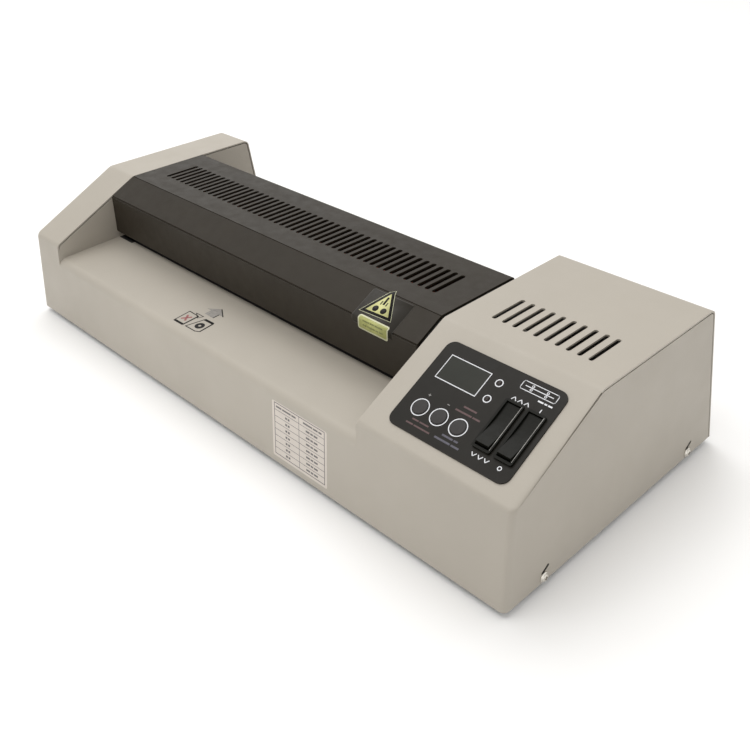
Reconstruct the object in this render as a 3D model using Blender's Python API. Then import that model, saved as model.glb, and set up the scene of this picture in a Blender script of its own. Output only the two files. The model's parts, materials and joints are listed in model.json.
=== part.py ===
"""Pouch laminator: a folded sheet-metal case with a narrow and a wide tower, a dark centre cover,
the control panel, four rollers with their gear train, and the electrics.

Case coordinates are in millimetres: x from the left end, y to the rear from the front top edge, z up
from the underside of the case. place() turns them into Blender metres, with the origin at the middle
of the footprint, on the surface that the feet stand on."""

import math

import bmesh
import bpy
from mathutils import Matrix, Vector

# Case
WIDTH = 505.0
CASE_HEIGHT = 104.2
FOOT_HEIGHT = 5.0
SHEET = 1.2
GAP = 0.3
LEFT_TOWER = 36.2
RIGHT_TOWER = 389.3
FRONT_BOTTOM = (-3.7, 0.0)
FRONT_TOP = (0.0, 65.9)
SLOPE_TOP = (76.1, CASE_HEIGHT)
REAR_TOP = (197.1, CASE_HEIGHT)
REAR_BOTTOM = (213.9, 0.0)
DEPTH = REAR_BOTTOM[0] - FRONT_BOTTOM[0]
TABLE_FRONT_Z = 53.3
SLOT_FLOOR_Z = 55.4
SLOT_HEIGHT = 4.8
COVER_FRONT_Y = 54.1
COVER_REAR_Y = 148.4
COVER_FOLD_Z = 94.0
EXIT_SHELF_Z = 50.0

# Vent slots, cut front to back, with pointed ends whose length is a share of the slot's width
VENT_NOSE = 0.35
VENT_FRONT_Y = 95.3
VENT_REAR_Y = 126.4
COVER_VENTS = 48
COVER_VENT_PITCH = 6.46
COVER_VENT_WIDTH = 3.1
COVER_VENT_MIDDLE = 210.2
TOWER_VENTS = 10
TOWER_VENT_PITCH = 7.85
TOWER_VENT_WIDTH = 2.9
TOWER_VENT_FIRST = 412.0

# Controls, placed by x and by the distance s up the slope from the front top edge
OVERLAY = (448.7, 41.7, 87.4, 63.8, 5.0)
DISPLAY = (428.1, 55.9, 30.0, 17.0)
BUTTON_S = 26.4
BUTTON_XS = {"button_up": 418.7, "button_down": 433.1, "button_mode": 447.5}
BUTTON_R = 5.0
LED_X = 450.8
LED_SS = {"led_ready": 61.2, "led_power": 49.4}
SWITCH_S = 38.0
SWITCH_XS = {"direction": 467.6, "power": 482.6}
SWITCH_TILT = 6.0
SWITCH_BEZEL = (12.6, 34.2)
SWITCH_WELL = (9.8, 31.0)
ROCKER_PIVOT_N = -2.0
ROCKER_HALF_WIDTH = 4.6
ROCKER_HALF_LENGTH = 14.6

# Openings in the sheet of the slope, and how far a cutter reaches past a sheet
BUTTON_HOLE_R = BUTTON_R + 0.25
LED_HOLE_R = 2.0
SWITCH_HOLE = (11.8, 33.0)
WINDOW_HOLE = (27.0, 14.0)
REACH = 6.0

# Control board: its outline, its two faces, the display block and the other tall parts on it
BOARD = (431.0, 43.0, 54.0, 52.0)
BOARD_N = (-11.0, -9.4)
DISPLAY_BLOCK = (26.0, 13.0)
BOARD_PARTS = ((410.0, 40.0, 5.0, 14.0), (444.0, 36.5, 8.0, 5.0))

# Rollers and gears
SHEET_PLANE_Z = SLOT_FLOOR_Z + SLOT_HEIGHT / 2
ROLLER_PITCH_R = 11.0
SLEEVE_R = 10.85
SHAFT_R = 4.0
HOT_Y = 82.0
PULL_Y = 126.0
UPPER_Z = SHEET_PLANE_Z + ROLLER_PITCH_R
LOWER_Z = SHEET_PLANE_Z - ROLLER_PITCH_R
GEAR_TEETH = 22
PINION_TEETH = 16
GEAR_MODULE = 1.0
GEAR_X = (406.0, 414.0)
STUD_R = 3.0
RUNNING_GAP = 0.1
SLEEVE_X = (42.0, 383.0)
SHAFT_X = (18.0, 415.4)
IDLER_Y = (HOT_Y + PULL_Y) / 2
PINION_R = PINION_TEETH * GEAR_MODULE / 2
PINION_Z = LOWER_Z - ROLLER_PITCH_R - PINION_R
MOTOR_Z = 38.0
ROLLER_SEATS = [(y, z) for y in (HOT_Y, PULL_Y) for z in (UPPER_Z, LOWER_Z)]
TIE_ROD_R = 3.0
TIE_ROD_SEATS = {"upper": (IDLER_Y, 90.0), "lower": (IDLER_Y, 33.0)}

# Roller frame: each side plate's inner and outer face, the end of its foot, and its bearing block
FRAME_SIDES = (
    ("left", 28.8, 27.3, 14.0, (20.0, 27.0)),
    ("right", 397.0, 398.5, 411.0, (398.8, 405.0)),
)
FRAME_Y = (66.0, 142.0)
FRAME_TOP_Z = 96.0
BEARING_BLOCK = (IDLER_Y, SHEET_PLANE_Z, 72.0, 46.0, 8.0)

# Heater shells round the hot rollers, and the thermostat on the upper one
SHELL_R = (13.0, 15.5)
SHELL_X = (44.0, 381.0)
SHELL_ARC = 140.0
SHELL_STARTS = {"upper": 20.0, "lower": 200.0}
THERMOSTAT_X = 60.0

# Mains inlet in the rear face, by its middle in that face's own u and v, and its pins about it
INLET_MIDDLE = (-470.0, 30.0)
INLET_FLANGE = (48.0, 24.0, 5.0)
INLET_HALF = (13.6, 9.8)
INLET_CORNER = 4.0
INLET_WALL = 1.6
INLET_PINS = ((-7.0, -1.5), (0.0, 2.5), (7.0, -1.5))

# Case screws, the small slot that runs in above each one, and the feet
SCREW_YZ = ((30.3, 3.4), (183.3, 3.4))
SCREW_R = 1.5
SCREW_HOLE_R = 1.9
SCREW_HEAD_R = 2.8
SCREW_RECESS = (2.8, 0.7)
HOOK_SLOT = (7.4, 2.0)
HOOK_SLOT_RISE = 4.3
FOOT_XY = ((28.0, 25.0), (477.0, 25.0), (28.0, 186.0), (477.0, 186.0))
SMOOTH_DEGREES = 35.0

# Each slot's base colour, roughness and metallic value
FINISHES = {
    "beige_paint": ((0.62, 0.59, 0.54), 0.55, 0.0),
    "dark_paint": ((0.055, 0.05, 0.047), 0.6, 0.0),
    "zinc_steel": ((0.55, 0.56, 0.57), 0.4, 1.0),
    "steel": ((0.6, 0.6, 0.6), 0.25, 1.0),
    "nickel": ((0.66, 0.64, 0.6), 0.2, 1.0),
    "aluminium": ((0.72, 0.73, 0.74), 0.35, 1.0),
    "overlay_film": ((0.012, 0.012, 0.014), 0.35, 0.0),
    "smoked_lens": ((0.01, 0.014, 0.012), 0.1, 0.0),
    "led_lens": ((0.35, 0.06, 0.05), 0.3, 0.0),
    "button_film": ((0.035, 0.035, 0.04), 0.4, 0.0),
    "black_plastic": ((0.015, 0.015, 0.016), 0.35, 0.0),
    "gear_plastic": ((0.75, 0.73, 0.66), 0.45, 0.0),
    "silicone": ((0.45, 0.09, 0.05), 0.6, 0.0),
    "rubber": ((0.03, 0.03, 0.03), 0.8, 0.0),
    "circuit_board": ((0.03, 0.16, 0.07), 0.4, 0.0),
    "motor_can": ((0.4, 0.41, 0.43), 0.4, 1.0),
    "core_steel": ((0.12, 0.12, 0.13), 0.55, 1.0),
}


def place(x, y, z):
    """Case millimetres to Blender metres."""
    middle_y = FRONT_BOTTOM[0] + DEPTH / 2
    return Vector((x - WIDTH / 2, y - middle_y, z + FOOT_HEIGHT)) / 1000


def frame(origin, u, v):
    """A matrix from (u, v, w) millimetres to Blender metres, with w along u cross v."""
    u, v = Vector(u).normalized(), Vector(v).normalized()
    w = u.cross(v)
    turn = Matrix((u, v, w)).transposed().to_4x4() * 0.001
    turn[3][3] = 1.0
    return Matrix.Translation(place(*origin)) @ turn


ALONG_X = frame((0, 0, 0), (0, 1, 0), (0, 0, 1))
ALONG_Z = frame((0, 0, 0), (1, 0, 0), (0, 1, 0))
ALONG_Y = frame((0, 0, 0), (0, 0, 1), (1, 0, 0))
SLOPE_ANGLE = math.atan2(SLOPE_TOP[1] - FRONT_TOP[1], SLOPE_TOP[0])
SLOPE_U = Vector((0, math.cos(SLOPE_ANGLE), math.sin(SLOPE_ANGLE)))
ON_SLOPE = frame((0, FRONT_TOP[0], FRONT_TOP[1]), (1, 0, 0), SLOPE_U)
REAR_U = Vector((0, REAR_TOP[0] - REAR_BOTTOM[0], CASE_HEIGHT)).normalized()
ON_REAR = frame((0, REAR_BOTTOM[0], 0), (-1, 0, 0), REAR_U)


def on_slope(x, s, n=0.0):
    """The case point at x, s up the slope and n above it."""
    normal = Vector((1, 0, 0)).cross(SLOPE_U)
    point = Vector((x, FRONT_TOP[0], FRONT_TOP[1])) + SLOPE_U * s + normal * n
    return tuple(point)


def material(slot):
    """The slot's plain material, made once."""
    if slot in bpy.data.materials:
        return bpy.data.materials[slot]
    colour, roughness, metallic = FINISHES[slot]
    made = bpy.data.materials.new(slot)
    made.use_nodes = True
    surface = made.node_tree.nodes["Principled BSDF"].inputs
    surface["Base Color"].default_value = (*colour, 1.0)
    surface["Roughness"].default_value = roughness
    surface["Metallic"].default_value = metallic
    return made


def object_from(name, built, slot, origin=None):
    """A bmesh in world metres as an object, with its origin at a case point."""
    bmesh.ops.recalc_face_normals(built, faces=built.faces)
    start = place(*origin) if origin else Vector((0, 0, 0))
    bmesh.ops.translate(built, vec=-start, verts=built.verts)
    mesh = bpy.data.meshes.new(name)
    built.to_mesh(mesh)
    built.free()
    made = bpy.data.objects.new(name, mesh)
    made.location = start
    bpy.context.scene.collection.objects.link(made)
    if slot:
        mesh.materials.append(material(slot))
        mesh.shade_smooth()
        mesh.set_sharp_from_angle(angle=math.radians(SMOOTH_DEGREES))
    else:
        made.hide_render = True
        made.display_type = "WIRE"
    return made


def add_prism(built, outline, low, high, to_world):
    """One closed prism over a (u, v) outline, from w = low to w = high."""
    rings = [
        [built.verts.new(to_world @ Vector((u, v, w))) for u, v in outline]
        for w in (low, high)
    ]
    built.faces.new(rings[0])
    built.faces.new(rings[1])
    count = len(outline)
    for i in range(count):
        j = (i + 1) % count
        built.faces.new((rings[0][i], rings[0][j], rings[1][j], rings[1][i]))


def prism(name, outlines, low, high, to_world, slot=None, origin=None):
    """Prisms over one or more outlines. Without a slot it is a hidden cutter."""
    built = bmesh.new()
    for outline in outlines:
        add_prism(built, outline, low, high, to_world)
    return object_from(name, built, slot, origin)


def turned(name, profile, centre, to_world, slot=None, sides=32, origin=None, ring=False):
    """A solid turned round the w axis at (u, v) = centre, from (radius, w) points."""
    built = bmesh.new()
    rows = []
    for radius, w in profile:
        if radius == 0:
            rows.append([built.verts.new(to_world @ Vector((*centre, w)))])
            continue
        turns = [2 * math.pi * (k + 0.5) / sides for k in range(sides)]
        rows.append(
            [
                built.verts.new(
                    to_world
                    @ Vector(
                        (centre[0] + radius * math.cos(a), centre[1] + radius * math.sin(a), w)
                    )
                )
                for a in turns
            ]
        )
    pairs = list(zip(rows, rows[1:]))
    if ring:
        pairs.append((rows[-1], rows[0]))
    for first, second in pairs:
        for k in range(sides):
            j = (k + 1) % sides
            corners = [first[k % len(first)], first[j % len(first)]]
            corners += [second[j % len(second)], second[k % len(second)]]
            built.faces.new(list(dict.fromkeys(corners)))
    if not ring:
        for row in (rows[0], rows[-1]):
            if len(row) > 1:
                built.faces.new(row)
    return object_from(name, built, slot, origin)


def combine(target, other, operation="DIFFERENCE"):
    """Cuts the hidden solid from the target, or joins it on."""
    step = target.modifiers.new(other.name, "BOOLEAN")
    step.operation = operation
    step.solver = "EXACT"
    step.object = other


def rectangle(u, v, width, height, radius=0.0, steps=3):
    """A rectangle about (u, v), with rounded corners if it has a radius."""
    half_w, half_h = width / 2, height / 2
    if radius == 0:
        return [
            (u - half_w, v - half_h),
            (u + half_w, v - half_h),
            (u + half_w, v + half_h),
            (u - half_w, v + half_h),
        ]
    points = []
    for quarter, (su, sv) in enumerate(((1, 1), (-1, 1), (-1, -1), (1, -1))):
        for k in range(steps + 1):
            a = math.pi / 2 * (quarter + k / steps)
            points.append(
                (
                    u + su * (half_w - radius) + radius * math.cos(a),
                    v + sv * (half_h - radius) + radius * math.sin(a),
                )
            )
    return points


def circle(u, v, radius, sides=24):
    """A polygon with its sides' middles outside the circle's radius."""
    outer = radius / math.cos(math.pi / sides)
    turns = [2 * math.pi * (k + 0.5) / sides for k in range(sides)]
    return [(u + outer * math.cos(a), v + outer * math.sin(a)) for a in turns]


def box(name, low, high, slot=None):
    """A block between two case points."""
    outline = rectangle(
        (low[0] + high[0]) / 2, (low[1] + high[1]) / 2, high[0] - low[0], high[1] - low[1]
    )
    return prism(name, [outline], low[2], high[2], ALONG_Z, slot)


def bent(corners, radii, steps=4):
    """A path through the corners with its bends rounded."""
    path = [Vector(corners[0])]
    for i, radius in enumerate(radii, 1):
        before, here, after = (Vector(corners[i + k]) for k in (-1, 0, 1))
        back, on = (before - here).normalized(), (after - here).normalized()
        half = back.angle(on) / 2
        reach = radius / math.tan(half)
        centre = here + (back + on).normalized() * (radius / math.sin(half))
        start, end = here + back * reach - centre, here + on * reach - centre
        turn = start.angle_signed(end)
        for k in range(steps + 1):
            path.append(centre + Matrix.Rotation(-turn * k / steps, 2) @ start)
    path.append(Vector(corners[-1]))
    return path


def inset(path, distance):
    """The path moved to its right by a distance, square to each stretch."""
    moved = []
    for i, point in enumerate(path):
        stretches = []
        if i > 0:
            stretches.append((point - path[i - 1]).normalized())
        if i < len(path) - 1:
            stretches.append((path[i + 1] - point).normalized())
        normals = [Vector((s.y, -s.x)) for s in stretches]
        middle = sum(normals, Vector((0, 0))).normalized()
        moved.append(point + middle * (distance / middle.dot(normals[0])))
    return moved


def strip(corners, radii, steps=4, thickness=SHEET):
    """The outline of a bent sheet whose outer face follows the corners, clockwise."""
    path = bent(corners, radii, steps)
    return [tuple(p) for p in path + inset(path, thickness)[::-1]]


def front_y(z):
    """Where the leaning front face is at a height."""
    return FRONT_BOTTOM[0] * (1 - z / FRONT_TOP[1])


def rear_y(z):
    """Where the leaning rear face is at a height."""
    return REAR_BOTTOM[0] + (REAR_TOP[0] - REAR_BOTTOM[0]) * z / CASE_HEIGHT


TOWER_CORNERS = (FRONT_BOTTOM, FRONT_TOP, SLOPE_TOP, REAR_TOP, REAR_BOTTOM)
TOWER_BENDS = (5.0, 9.0, 5.0)


def vents(name, xs, width, z):
    """Cutters for a row of slots with pointed ends, through the sheet at height z."""
    nose = width * VENT_NOSE
    outlines = [
        [
            (x - width / 2, VENT_FRONT_Y + nose),
            (x, VENT_FRONT_Y),
            (x + width / 2, VENT_FRONT_Y + nose),
            (x + width / 2, VENT_REAR_Y - nose),
            (x, VENT_REAR_Y),
            (x - width / 2, VENT_REAR_Y - nose),
        ]
        for x in xs
    ]
    return prism(name, outlines, z - REACH, z + REACH, ALONG_Z)


def panel_cutters():
    """Outlines of the holes in the right tower's slope for the keys, lamps and switches."""
    outlines = [circle(x, BUTTON_S, BUTTON_HOLE_R) for x in BUTTON_XS.values()]
    outlines += [circle(LED_X, s, LED_HOLE_R, 12) for s in LED_SS.values()]
    outlines += [rectangle(x, SWITCH_S, *SWITCH_HOLE) for x in SWITCH_XS.values()]
    return outlines


def tower_wraps():
    """The bent sheets over the two towers, with the right one's vents, panel holes and inlet hole."""
    outline = strip(TOWER_CORNERS, TOWER_BENDS)
    prism("left_tower_wrap", [outline], 0, LEFT_TOWER, ALONG_X, "beige_paint")
    right = prism("right_tower_wrap", [outline], RIGHT_TOWER, WIDTH, ALONG_X, "beige_paint")
    xs = [TOWER_VENT_FIRST + TOWER_VENT_PITCH * k for k in range(TOWER_VENTS)]
    combine(right, vents("cut_tower_vents", xs, TOWER_VENT_WIDTH, CASE_HEIGHT))
    window = rectangle(*DISPLAY[:2], *WINDOW_HOLE)
    holes = prism("cut_panel", panel_cutters() + [window], -REACH, REACH, ON_SLOPE)
    combine(right, holes)
    combine(right, prism("cut_inlet", [inlet_outline(GAP)], -REACH, REACH, ON_REAR))


def screw_cutters():
    """Outlines of the holes that an end panel and the base pan share at each case screw."""
    holes = [circle(y, z, SCREW_HOLE_R, 12) for y, z in SCREW_YZ]
    return holes + [rectangle(y, z + HOOK_SLOT_RISE, *HOOK_SLOT) for y, z in SCREW_YZ]


def end_panels():
    """The flat outer walls of the towers, with the screw holes and the hook slots above them."""
    path = inset(bent(TOWER_CORNERS, TOWER_BENDS), SHEET + GAP)
    path[0].y = path[-1].y = 0.0
    outline = [tuple(p) for p in path]
    for side, low in (("left", 0.0), ("right", WIDTH - SHEET)):
        panel = prism(f"{side}_end_panel", [outline], low, low + SHEET, ALONG_X, "beige_paint")
        holes = prism(f"cut_{side}_end", screw_cutters(), low - REACH, low + REACH, ALONG_X)
        combine(panel, holes)


def cheeks():
    """The tower walls that face the feed table, with holes for the shafts and tie rods."""
    path = inset(bent(TOWER_CORNERS, TOWER_BENDS), SHEET + GAP)
    foot_z = 14.0
    path[0] = Vector((front_y(foot_z) + 2 * SHEET, foot_z))
    path[-1] = Vector((rear_y(foot_z) - 2 * SHEET, foot_z))
    outline = [tuple(p) for p in path]
    for side, low in (("left", LEFT_TOWER - SHEET), ("right", RIGHT_TOWER)):
        cheek = prism(f"{side}_cheek", [outline], low, low + SHEET, ALONG_X, "beige_paint")
        holes = [circle(*seat, SHAFT_R + 2, 12) for seat in ROLLER_SEATS]
        holes += [circle(*seat, TIE_ROD_R + 1, 12) for seat in TIE_ROD_SEATS.values()]
        combine(cheek, prism(f"cut_{side}_cheek", holes, low - REACH, low + REACH, ALONG_X))


def table_panel():
    """The middle of the front face, folded back into the feed table that runs in to the rollers."""
    corners = (
        FRONT_BOTTOM,
        (front_y(TABLE_FRONT_Z), TABLE_FRONT_Z),
        (COVER_FRONT_Y, SLOT_FLOOR_Z),
        (66.0, SLOT_FLOOR_Z),
        (67.8, SLOT_FLOOR_Z - 4.5),
    )
    outline = strip(corners, (7.0, 20.0, 1.8))
    span = (LEFT_TOWER + GAP, RIGHT_TOWER - GAP)
    prism("table_panel", [outline], *span, ALONG_X, "beige_paint")


def exit_panel():
    """The shelf behind the rollers and the middle of the rear face."""
    corners = (
        (141.0, 48.6),
        (142.6, 52.6),
        (rear_y(EXIT_SHELF_Z), EXIT_SHELF_Z),
        REAR_BOTTOM,
    )
    outline = strip(corners, (1.8, 6.0))
    span = (LEFT_TOWER + GAP, RIGHT_TOWER - GAP)
    prism("exit_panel", [outline], *span, ALONG_X, "beige_paint")


def base_pan():
    """The bottom sheet with its two end flanges and the vents under the rollers."""
    ends = (SHEET + GAP, WIDTH - SHEET - GAP)
    corners = ((ends[0], 15), (ends[0], 0), (ends[1], 0), (ends[1], 15))
    path = bent([Vector(c) for c in corners], (2.0, 2.0), 2)
    outline = [(z, x) for x, z in [tuple(p) for p in path + inset(path, -SHEET)[::-1]]]
    pan = prism("base_pan", [outline], -1.0, 209.5, ALONG_Y, "zinc_steel")
    slots = [
        rectangle(x, y, 4.0, 42.0)
        for y in (70.0, 138.0)
        for x in (90 + 30 * k for k in range(9))
    ]
    combine(pan, prism("cut_pan_vents", slots, -REACH, REACH, ALONG_Z))
    combine(pan, prism("cut_pan_ends", screw_cutters(), -REACH, WIDTH + REACH, ALONG_X))


def centre_cover():
    """The dark hood over the rollers, with a lip above the feed slot and one above the exit."""
    lip_z = SLOT_FLOOR_Z + SLOT_HEIGHT
    corners = (
        (60.5, lip_z),
        (COVER_FRONT_Y, lip_z),
        (COVER_FRONT_Y - 0.3, COVER_FOLD_Z - 1.2),
        SLOPE_TOP,
        (COVER_REAR_Y, CASE_HEIGHT),
        (COVER_REAR_Y, 62.0),
        (143.0, 62.0),
    )
    outline = strip(corners, (1.8, 2.5, 4.0, 3.0, 1.8), 3)
    span = (LEFT_TOWER + 0.5, RIGHT_TOWER - 0.5)
    cover = prism("centre_cover", [outline], *span, ALONG_X, "dark_paint")
    first = COVER_VENT_MIDDLE - COVER_VENT_PITCH * (COVER_VENTS - 1) / 2
    xs = [first + COVER_VENT_PITCH * k for k in range(COVER_VENTS)]
    combine(cover, vents("cut_cover_vents", xs, COVER_VENT_WIDTH, CASE_HEIGHT))


def case_screws():
    """Pan-head screws that hold the end panels to the base pan's flanges."""
    tip, head_r = SCREW_R - 0.3, SCREW_HEAD_R
    profile = [(0, -6.0), (tip, -6.0), (SCREW_R, -5.4), (SCREW_R, GAP)]
    profile += [(head_r, GAP), (head_r, 0.8), (head_r - 0.5, 1.5), (head_r - 1.5, 1.9), (0, 1.9)]
    for side, x, facing in (("left", 0.0, -1), ("right", WIDTH, 1)):
        for end, (y, z) in zip(("front", "rear"), SCREW_YZ):
            across = (0, facing, 0)
            head = frame((x, y, z), across, (0, 0, 1))
            screw = turned(f"case_screw_{side}_{end}", profile, (0, 0), head, "nickel", 16)
            for arm, size in (("a", SCREW_RECESS), ("b", SCREW_RECESS[::-1])):
                recess = prism(f"cut_{arm}_{side}_{end}", [rectangle(0, 0, *size)], 1.1, REACH, head)
                combine(screw, recess)


def feet():
    """Four rubber feet, each with a recess for its screw."""
    low = -FOOT_HEIGHT
    profile = [(0, -GAP), (7.6, -GAP), (8.0, -0.8), (9.0, low + 1.2), (8.2, low)]
    profile += [(4.0, low), (4.0, low + 2.4), (0, low + 2.4)]
    names = ("front_left", "front_right", "rear_left", "rear_right")
    for name, centre in zip(names, FOOT_XY):
        turned(f"foot_{name}", profile, centre, ALONG_Z, "rubber", 24)


def control_overlay():
    """The black film on the slope, cut out for the display, buttons, lamps and switches."""
    film = prism("control_overlay", [rectangle(*OVERLAY, 4)], GAP, 0.8, ON_SLOPE, "overlay_film")
    cuts = panel_cutters() + [rectangle(*DISPLAY)]
    combine(film, prism("cut_overlay", cuts, -REACH, REACH, ON_SLOPE))
    lens = rectangle(*DISPLAY[:2], DISPLAY[2] - 2 * GAP, DISPLAY[3] - 2 * GAP)
    prism("display_window", [lens], GAP, 0.8, ON_SLOPE, "smoked_lens")


def buttons():
    """Round keys with a flange below the sheet and a stem down to the board, and the two lamps."""
    profile = [(0, -8.3), (1.6, -8.3), (1.6, -3.0), (6.2, -3.0), (6.2, -1.9)]
    profile += [(BUTTON_R, -1.9), (BUTTON_R, 0.8), (4.4, 1.2), (0, 1.3)]
    for name, x in BUTTON_XS.items():
        origin = on_slope(x, BUTTON_S)
        turned(name, profile, (x, BUTTON_S), ON_SLOPE, "button_film", 24, origin)
    profile = [(0, -8.8), (1.5, -8.8), (1.5, 0.7), (1.0, 1.2), (0, 1.4)]
    for name, s in LED_SS.items():
        turned(name, profile, (LED_X, s), ON_SLOPE, "led_lens", 12)


def control_board():
    """The circuit board under the slope, with the display block behind its window."""
    board = prism("control_board", [rectangle(*BOARD)], *BOARD_N, ON_SLOPE, "circuit_board")
    within = sum(BOARD_N) / 2
    block = [rectangle(*DISPLAY[:2], *DISPLAY_BLOCK)]
    combine(board, prism("join_display", block, within, -1.6, ON_SLOPE), "UNION")
    parts = [rectangle(*part) for part in BOARD_PARTS]
    combine(board, prism("join_parts", parts, -14.0, within, ON_SLOPE), "UNION")


def switches():
    """Two rocker switches: a body with a bezel and a well, and the rocker that tips in it."""
    half, rise = ROCKER_HALF_LENGTH, 4.4
    dip = [(-half + 2 * half * k / 8, rise - 1.5 * math.sin(math.pi * k / 8)) for k in range(9)]
    flank = [(half, 0.6), (8.0, -3.4), (-8.0, -3.4), (-half, 0.6)]
    for name, x in SWITCH_XS.items():
        bezel = [rectangle(x, SWITCH_S, *SWITCH_BEZEL, 1.2, 2)]
        body = prism(f"{name}_switch_body", bezel, 1.1, 2.1, ON_SLOPE, "black_plastic")
        lower = [rectangle(x, SWITCH_S, 11.2, 32.4)]
        combine(body, prism(f"join_{name}_body", lower, -14.0, 1.6, ON_SLOPE), "UNION")
        well = [rectangle(x, SWITCH_S, *SWITCH_WELL)]
        combine(body, prism(f"cut_{name}_well", well, -9.0, REACH, ON_SLOPE))
        origin = on_slope(x, SWITCH_S, ROCKER_PIVOT_N)
        tilt = math.radians(-SWITCH_TILT)
        along = Matrix.Rotation(tilt, 3, "X") @ SLOPE_U
        up = Vector((1, 0, 0)).cross(along)
        side = frame(origin, along, up)
        width = (-ROCKER_HALF_WIDTH, ROCKER_HALF_WIDTH)
        prism(f"{name}_rocker", [dip + flank], *width, side, "black_plastic", origin)


def gear_outline(teeth, phase, centre):
    """Trapezoid teeth about a centre, with a tooth's middle at the phase angle."""
    pitch_r = teeth * GEAR_MODULE / 2
    tip, root = pitch_r + 0.85 * GEAR_MODULE, pitch_r - 1.15 * GEAR_MODULE
    step = 2 * math.pi / teeth
    points = []
    for k in range(teeth):
        middle = phase + k * step
        for radius, turn in ((root, -0.30), (tip, -0.11), (tip, 0.11), (root, 0.30)):
            a = middle + turn * step
            points.append((centre[0] + radius * math.cos(a), centre[1] + radius * math.sin(a)))
    return points


def gear(name, teeth, phase, centre, bore_r):
    """A spur gear at (y, z), in the gears' plane."""
    outline = gear_outline(teeth, phase, centre)
    origin = (GEAR_X[0], *centre)
    made = prism(name, [outline], *GEAR_X, ALONG_X, "gear_plastic", origin)
    bore = [circle(*centre, bore_r, 16)]
    combine(made, prism(f"cut_{name}", bore, GEAR_X[0] - REACH, GEAR_X[1] + REACH, ALONG_X))


def rollers():
    """Four rollers: a steel shaft, a silicone sleeve and a gear each."""
    upright, upside = 0.0, math.radians(270)
    seats = {
        "hot_roller_upper": (HOT_Y, UPPER_Z, upside),
        "hot_roller_lower": (HOT_Y, LOWER_Z, upright),
        "pull_roller_upper": (PULL_Y, UPPER_Z, upside),
        "pull_roller_lower": (PULL_Y, LOWER_Z, upright),
    }
    edge, (low, high) = 0.6, SHAFT_X
    shaft = [(0, low), (SHAFT_R - edge, low), (SHAFT_R, low + edge)]
    shaft += [(SHAFT_R, high - edge), (SHAFT_R - edge, high), (0, high)]
    bore, (low, high) = SHAFT_R + 0.15, SLEEVE_X
    tube = [(bore, low), (SLEEVE_R - edge, low), (SLEEVE_R, low + edge)]
    tube += [(SLEEVE_R, high - edge), (SLEEVE_R - edge, high), (bore, high)]
    for name, (y, z, phase) in seats.items():
        origin = (GEAR_X[0], y, z)
        turned(f"{name}_shaft", shaft, (y, z), ALONG_X, "steel", 16, origin)
        turned(f"{name}_sleeve", tube, (y, z), ALONG_X, "silicone", 32, origin, ring=True)
        gear(f"{name}_gear", GEAR_TEETH, phase, (y, z), SHAFT_R + RUNNING_GAP)


def drive():
    """The geared motor on its bracket, its pinion, and the idler between the lower rollers."""
    half_tooth = math.pi / GEAR_TEETH
    bore_r = STUD_R + RUNNING_GAP
    gear("idler_gear", GEAR_TEETH, math.pi + half_tooth, (IDLER_Y, LOWER_Z), bore_r)
    stud = [(0, 399.2), (STUD_R, 399.2), (STUD_R, 414.4), (4.6, 414.4), (4.6, 415.4), (0, 415.4)]
    turned("idler_stud", stud, (IDLER_Y, LOWER_Z), ALONG_X, "steel", 16)
    pinion_phase = math.pi / 2 + math.pi / PINION_TEETH
    gear("motor_pinion", PINION_TEETH, pinion_phase, (IDLER_Y, PINION_Z), bore_r)
    shaft = [(0, 405.2), (STUD_R, 405.2), (STUD_R, 418.5), (0, 418.5)]
    origin = (GEAR_X[0], IDLER_Y, PINION_Z)
    turned("motor_shaft", shaft, (IDLER_Y, PINION_Z), ALONG_X, "steel", 16, origin)
    can = [(0, 418.8), (30.0, 418.8), (30.0, 436.0), (26.0, 437.0), (26.0, 454.0), (24.5, 456.0)]
    can += [(6.0, 456.0), (5.0, 458.0), (0, 458.0)]
    turned("gear_motor", can, (IDLER_Y, MOTOR_Z), ALONG_X, "motor_can", 32)
    corners = ((417.0, 74.0), (417.0, 1.5), (436.0, 1.5))
    path = bent([Vector(c) for c in corners], (2.0,), 2)
    outline = [(z, x) for x, z in [tuple(p) for p in path + inset(path, -1.5)[::-1]]]
    bracket = prism("motor_bracket", [outline], 70.0, 138.0, ALONG_Y, "zinc_steel")
    hole = [circle(IDLER_Y, PINION_Z, 5.5, 16)]
    combine(bracket, prism("cut_motor_bracket", hole, 412, 424, ALONG_X))


def roller_frame():
    """Two side plates on the base pan, their bearing blocks, and the rods that tie them."""
    top, sole, tread = FRAME_TOP_Z, 1.5, 3.0
    for side, inner, outer, toe, block_x in FRAME_SIDES:
        outline = [(top, inner), (sole, inner), (sole, toe), (tread, toe), (tread, outer), (top, outer)]
        plate = prism(f"{side}_frame_plate", [outline], *FRAME_Y, ALONG_Y, "zinc_steel")
        holes = [circle(*seat, SHAFT_R + 2, 16) for seat in ROLLER_SEATS]
        holes.append(circle(IDLER_Y, LOWER_Z, STUD_R + 1, 12))
        reach = (inner - REACH, inner + REACH)
        combine(plate, prism(f"cut_{side}_plate", holes, *reach, ALONG_X))
        blank = [rectangle(*BEARING_BLOCK)]
        block = prism(f"{side}_bearing_block", blank, *block_x, ALONG_X, "black_plastic")
        holes = [circle(*seat, SHAFT_R + RUNNING_GAP, 16) for seat in ROLLER_SEATS]
        if side == "right":
            holes.append(circle(IDLER_Y, LOWER_Z, STUD_R + RUNNING_GAP, 16))
        reach = (block_x[0] - REACH, block_x[1] + REACH)
        combine(block, prism(f"cut_{side}_block", holes, *reach, ALONG_X))
    low, high = FRAME_SIDES[0][1] + GAP, FRAME_SIDES[1][1] - GAP
    for name, centre in TIE_ROD_SEATS.items():
        rod = [(0, low), (TIE_ROD_R, low), (TIE_ROD_R, high), (0, high)]
        turned(f"tie_rod_{name}", rod, centre, ALONG_X, "steel", 12)


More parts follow.
